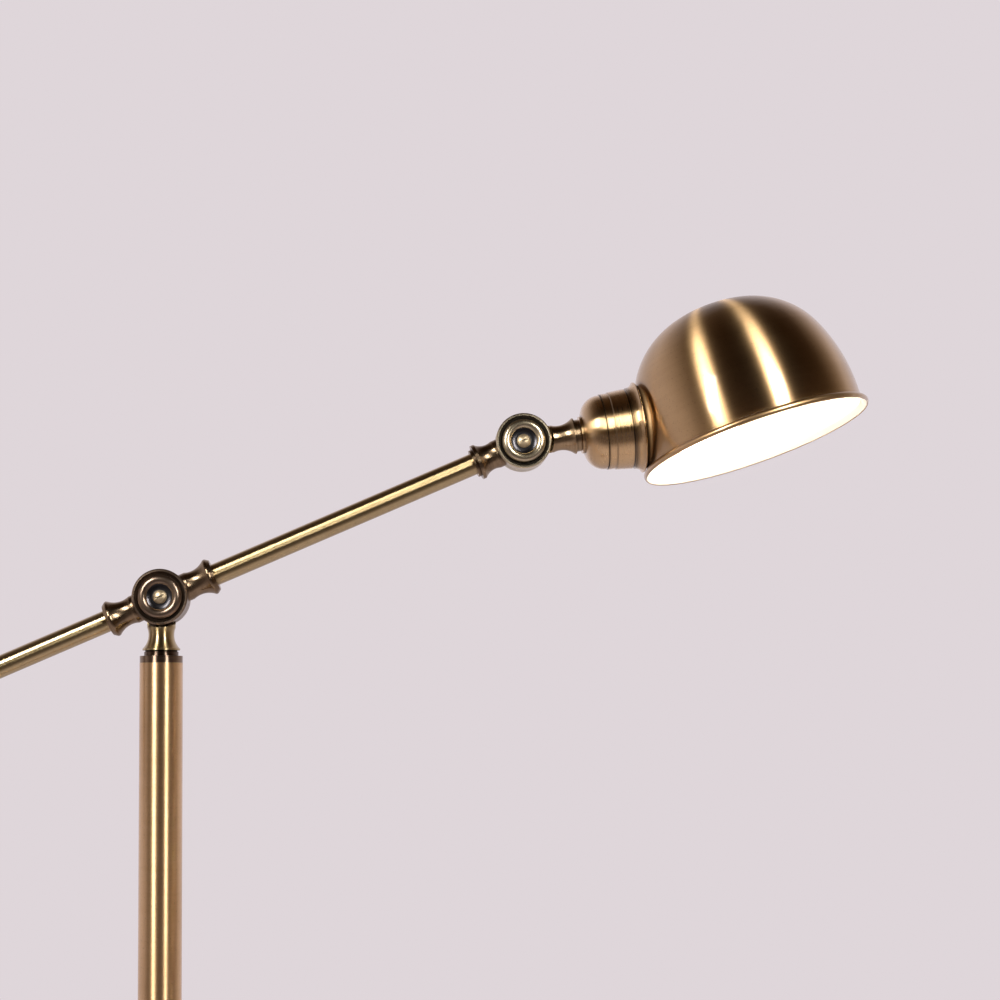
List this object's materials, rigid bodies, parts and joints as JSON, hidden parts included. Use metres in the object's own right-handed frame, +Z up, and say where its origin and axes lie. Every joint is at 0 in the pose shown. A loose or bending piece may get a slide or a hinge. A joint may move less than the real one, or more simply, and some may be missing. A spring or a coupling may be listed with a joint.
{
  "type": "pharmacy floor lamp",
  "caption": "Brass pharmacy floor lamp: weighted round base, straight pole, counterbalanced boom on friction knuckles, and a domed shade on a bell-shaped lamp holder.",
  "frame": {"origin": "on the floor under the middle of the pole, at the underside of the base's felt", "axes": "+Z up along the pole; +X the way the boom leans out at rest; -Y towards the side the picture is taken from, where the knuckle screws show"},
  "size_m": [0.6505, 0.254, 1.3264],
  "materials": {
    "antique_brass": "brushed antique brass under lacquer",
    "dark_brass": "darker patinated brass",
    "gunmetal": "dark satin plating",
    "plain_brass": "turned, bare",
    "cast_weight": "as cast, rough",
    "felt": "pressed felt",
    "bushing": "moulded, matt",
    "fibre": "pressed fibre",
    "moulding": "moulded phenolic, semi-gloss",
    "opal_glass": "opal, lit",
    "bulb_metal": "plain"
  },
  "bodies": {
    "stand": {"base_felt": "felt", "base_weight": "cast_weight", "base_cover": "antique_brass", "inlet_bushing": "bushing", "base_nut": "plain_brass", "base_washer": "plain_brass", "base_nipple": "plain_brass", "pole_foot": "plain_brass", "pole_collar": "antique_brass", "pole_lower_tube": "antique_brass", "pole_joint": "antique_brass", "pole_upper_tube": "antique_brass", "pole_cap": "dark_brass", "swivel_stop_pin": "plain_brass"},
    "stem": {"stem_knuckle": "dark_brass", "swivel_nipple": "plain_brass", "swivel_stop_washer": "plain_brass", "swivel_nut": "plain_brass", "pole_knuckle_screw": "plain_brass", "pole_knuckle_nut": "plain_brass", "pole_knuckle_friction_disc": "fibre"},
    "boom": {"boom_knuckle": "dark_brass", "pole_knuckle_cup_washer": "gunmetal", "boom_tube": "antique_brass", "tail_tube": "antique_brass", "counterweight": "antique_brass", "counterweight_screw": "plain_brass", "arm_knuckle": "dark_brass", "head_knuckle_cup_washer": "gunmetal"},
    "head": {"head_knuckle": "dark_brass", "head_knuckle_screw": "plain_brass", "head_knuckle_nut": "plain_brass", "head_knuckle_friction_disc": "fibre", "holder_nipple": "plain_brass", "holder_spacer": "antique_brass", "holder_stop_washer": "plain_brass", "holder_nut": "plain_brass"},
    "lamp": {"holder_cup": "antique_brass", "holder_stop_pin": "plain_brass", "holder_flange": "antique_brass", "lampholder_body": "moulding", "lampholder_shell": "plain_brass", "lampholder_contact": "plain_brass", "shade": "antique_brass", "shade_ring_nut": "moulding", "bulb_cap": "bulb_metal", "bulb_globe": "opal_glass", "bulb_tip": "bulb_metal"}
  },
  "joints": [
    {"name": "stem_swivel", "type": "hinge", "parent": "stand", "child": "stem", "pos_m": [0, 0, 1.1], "axis": [0, 0, 1], "range_deg": [-160, 160]},
    {"name": "boom_tilt", "type": "hinge", "parent": "stem", "child": "boom", "pos_m": [0, 0, 1.15], "axis": [0, -1, 0], "range_deg": [-55, 9]},
    {"name": "head_tilt", "type": "hinge", "parent": "boom", "child": "head", "pos_m": [0.2142, 0, 1.24092], "axis": [0, -1, 0], "range_deg": [-70, 90]},
    {"name": "shade_turn", "type": "hinge", "parent": "head", "child": "lamp", "pos_m": [0.2142, 0, 1.24092], "axis": [0.9917, 0, 0.1288], "range_deg": [-154, 166]}
  ]
}
